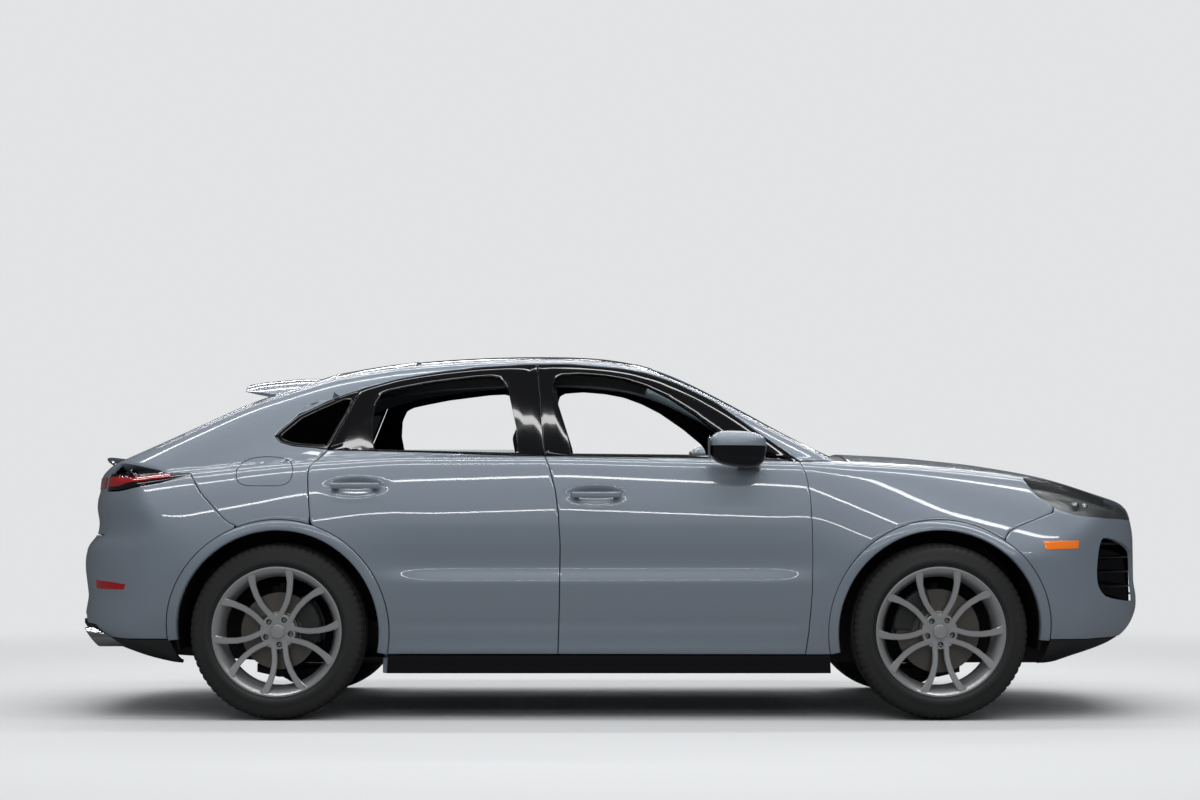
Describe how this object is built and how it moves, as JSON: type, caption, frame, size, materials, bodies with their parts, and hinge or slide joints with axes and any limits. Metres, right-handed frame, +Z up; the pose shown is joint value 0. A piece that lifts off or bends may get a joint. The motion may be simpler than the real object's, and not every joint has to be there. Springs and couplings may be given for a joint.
{
  "type": "coupe sport utility vehicle",
  "caption": "Large fastback sport utility car with opening doors, hood and tailgate, steering front wheels and a hollow cabin.",
  "frame": {"origin": "on the ground under the middle of the car's length and width", "axes": "+X towards the nose, +Y to the car's left, +Z up"},
  "size_m": [4.93, 2.194, 1.6497],
  "materials": {
    "body_paint": "gloss",
    "black_plastic": "matte",
    "gloss_black": "gloss",
    "glass": "gloss",
    "lamp_clear": "gloss",
    "lamp_red": "gloss",
    "leather": "satin",
    "soft_plastic": "matte",
    "alloy": "satin",
    "tyre_rubber": "matte",
    "chassis_metal": "matte",
    "cast_metal": "matte",
    "polished_metal": "satin"
  },
  "bodies": {
    "root": {"underbody": "black_plastic", "body_side_left": "body_paint", "body_side_right": "body_paint", "roof_panel": "body_paint", "fixed_glass": "glass", "front_fenders": "body_paint", "cowl_panel": "black_plastic", "front_bumper": "body_paint", "front_valance": "black_plastic", "front_grille": "gloss_black", "headlamps": "lamp_clear", "rear_bumper": "body_paint", "rear_diffuser": "black_plastic", "tail_lamps": "lamp_red", "arch_trims": "body_paint", "rear_bench": "leather", "front_seats": "leather", "dashboard": "soft_plastic", "engine_block": "cast_metal", "front_suspension": "chassis_metal", "rear_suspension": "chassis_metal", "exhaust": "polished_metal"},
    "door_front_left": {"door_front_left": "body_paint", "door_glass_front_left": "glass", "mirror_left": "body_paint"},
    "door_front_right": {"door_front_right": "body_paint", "door_glass_front_right": "glass", "mirror_right": "body_paint"},
    "door_rear_left": {"door_rear_left": "body_paint", "door_glass_rear_left": "glass"},
    "door_rear_right": {"door_rear_right": "body_paint"},
    "liftgate": {"liftgate": "body_paint", "liftgate_lamp": "lamp_red", "backlight": "glass", "gate_spoilers": "body_paint"},
    "hood": {"hood": "body_paint"},
    "fuel_flap": {"fuel_flap": "body_paint"},
    "steering_wheel": {"steering_wheel": "leather"},
    "knuckle_left": {"knuckle_left": "chassis_metal"},
    "knuckle_right": {"knuckle_right": "chassis_metal"},
    "wheel_front_left": {"wheel_front_left": "alloy", "tyre_front_left": "tyre_rubber"},
    "wheel_front_right": {"wheel_front_right": "alloy", "tyre_front_right": "tyre_rubber"},
    "wheel_rear_left": {"wheel_rear_left": "alloy", "tyre_rear_left": "tyre_rubber"},
    "wheel_rear_right": {"wheel_rear_right": "alloy", "tyre_rear_right": "tyre_rubber"}
  },
  "joints": [
    {"name": "door_front_left_hinge", "type": "hinge", "parent": "root", "child": "door_front_left", "pos_m": [0.85, 0.95, 0.7], "axis": [0, 0, -1], "range_deg": [0, 65]},
    {"name": "door_front_right_hinge", "type": "hinge", "parent": "root", "child": "door_front_right", "pos_m": [0.85, -0.95, 0.7], "axis": [0, 0, 1], "range_deg": [0, 65]},
    {"name": "door_rear_left_hinge", "type": "hinge", "parent": "root", "child": "door_rear_left", "pos_m": [-0.3, 0.95, 0.7], "axis": [0, 0, -1], "range_deg": [0, 68]},
    {"name": "door_rear_right_hinge", "type": "hinge", "parent": "root", "child": "door_rear_right", "pos_m": [-0.3, -0.95, 0.7], "axis": [0, 0, 1], "range_deg": [0, 68]},
    {"name": "hood_hinge", "type": "hinge", "parent": "root", "child": "hood", "pos_m": [1.064, 0, 1.188], "axis": [0, -1, 0], "range_deg": [0, 50]},
    {"name": "liftgate_hinge", "type": "hinge", "parent": "root", "child": "liftgate", "pos_m": [-1.26, 0, 1.582], "axis": [0, 1, 0], "range_deg": [0, 68]},
    {"name": "fuel_flap_hinge", "type": "hinge", "parent": "root", "child": "fuel_flap", "pos_m": [-1.399, -0.96, 1.085], "axis": [0, 0, 1], "range_deg": [0, 90]},
    {"name": "steer_left", "type": "hinge", "parent": "root", "child": "knuckle_left", "pos_m": [1.44, 0.75, 0.385], "axis": [0, 0, 1], "range_deg": [-33, 33]},
    {"name": "steer_right", "type": "hinge", "parent": "root", "child": "knuckle_right", "pos_m": [1.44, -0.75, 0.385], "axis": [0, 0, 1], "range_deg": [-33, 33]},
    {"name": "steering_wheel_turn", "type": "hinge", "parent": "root", "child": "steering_wheel", "pos_m": [0.365, 0.37, 0.99], "axis": [-0.9063, 0, 0.4226], "range_deg": [-465, 465]},
    {"name": "wheel_front_left_spin", "type": "hinge", "parent": "knuckle_left", "child": "wheel_front_left", "pos_m": [1.44, 0.8275, 0.385], "axis": [0, 1, 0], "continuous": true},
    {"name": "wheel_front_right_spin", "type": "hinge", "parent": "knuckle_right", "child": "wheel_front_right", "pos_m": [1.44, -0.8275, 0.385], "axis": [0, 1, 0], "continuous": true},
    {"name": "wheel_rear_left_spin", "type": "hinge", "parent": "root", "child": "wheel_rear_left", "pos_m": [-1.455, 0.8275, 0.385], "axis": [0, 1, 0], "continuous": true},
    {"name": "wheel_rear_right_spin", "type": "hinge", "parent": "root", "child": "wheel_rear_right", "pos_m": [-1.455, -0.8275, 0.385], "axis": [0, 1, 0], "continuous": true}
  ],
  "couplings": [
    {"joint": "steer_right", "follows": "steer_left", "ratio": 1},
    {"joint": "steering_wheel_turn", "follows": "steer_left", "ratio": 14}
  ]
}
